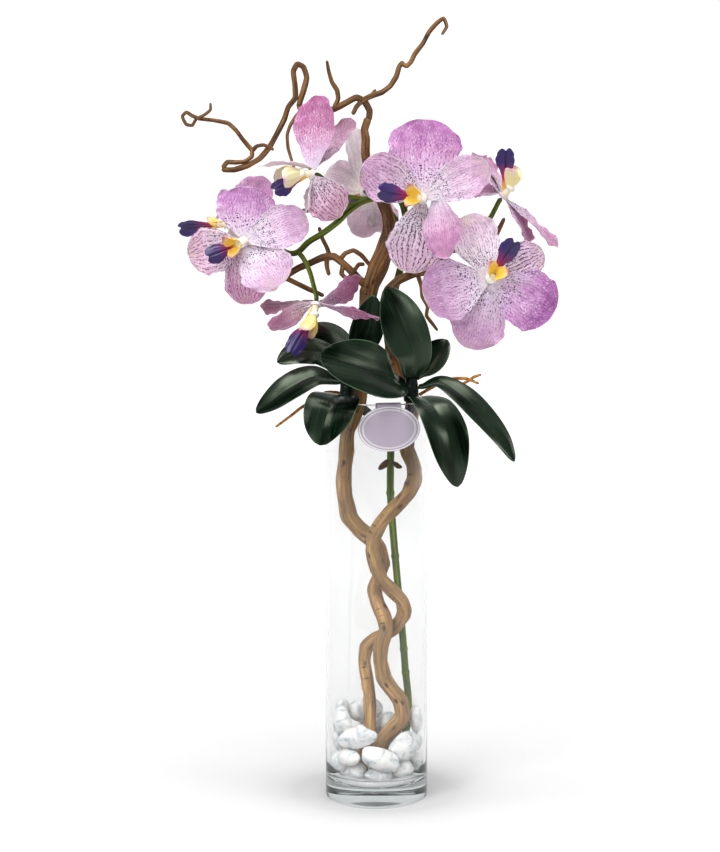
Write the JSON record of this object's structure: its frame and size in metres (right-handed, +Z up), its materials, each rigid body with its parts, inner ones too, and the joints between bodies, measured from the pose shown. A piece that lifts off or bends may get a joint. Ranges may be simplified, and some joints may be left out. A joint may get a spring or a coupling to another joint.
{
  "type": "vanda orchid in a glass vase",
  "caption": "Tall clear glass cylinder vase with white pebbles, contorted branches and a vanda orchid: strap leaves in the mouth and a spike of lilac blooms above.",
  "frame": {"origin": "centre of the vase's flat foot, on the surface that it stands on", "axes": "+Z up along the vase's axis, -Y towards the front that the blooms face, +X to the right seen from the front"},
  "size_m": [0.3793, 0.1512, 0.7738],
  "materials": {
    "glass": "clear polished",
    "hazel": "bare dried wood with knots",
    "stem_green": "satin, moulded plant stem",
    "petal_lilac": "soft matte petal with veins",
    "lip_indigo": "satin, indigo midlobe and yellow side lobes",
    "leaf_green": "waxy leaf",
    "root_brown": "dry root",
    "card_lilac": "smooth printed card",
    "marble": "tumbled"
  },
  "bodies": {
    "root": {"vase": "glass", "branch_left": "hazel", "branch_right": "hazel", "orchid_stem": "stem_green", "bloom_left": "petal_lilac", "bloom_left_lip": "lip_indigo", "bloom_upper_left": "petal_lilac", "bloom_upper_left_lip": "lip_indigo", "bloom_back_left": "petal_lilac", "bloom_back_left_lip": "lip_indigo", "bloom_lower_left": "petal_lilac", "bloom_lower_left_lip": "lip_indigo", "bloom_centre": "petal_lilac", "bloom_centre_lip": "lip_indigo", "bloom_back": "petal_lilac", "bloom_back_lip": "lip_indigo", "bloom_right": "petal_lilac", "bloom_right_lip": "lip_indigo", "bloom_lower_right": "petal_lilac", "bloom_lower_right_lip": "lip_indigo", "leaf_right_front": "leaf_green", "leaf_right_up": "leaf_green", "leaf_right_side_up": "leaf_green", "leaf_right_drooping": "leaf_green", "leaf_right_hanging": "leaf_green", "leaf_left_side": "leaf_green", "leaf_left_hanging": "leaf_green", "leaf_left_far": "leaf_green", "leaf_left_back": "leaf_green", "leaf_left_up": "leaf_green", "aerial_root_right": "root_brown", "aerial_root_left": "root_brown", "hang_card": "card_lilac", "pebble_01": "marble", "pebble_02": "marble", "pebble_03": "marble", "pebble_04": "marble", "pebble_05": "marble", "pebble_06": "marble", "pebble_07": "marble", "pebble_08": "marble", "pebble_09": "marble", "pebble_10": "marble", "pebble_11": "marble", "pebble_12": "marble", "pebble_13": "marble", "pebble_14": "marble", "pebble_15": "marble", "pebble_16": "marble", "pebble_17": "marble", "pebble_18": "marble", "pebble_19": "marble", "pebble_20": "marble", "pebble_21": "marble", "pebble_22": "marble", "pebble_23": "marble"}
  },
  "joints": []
}
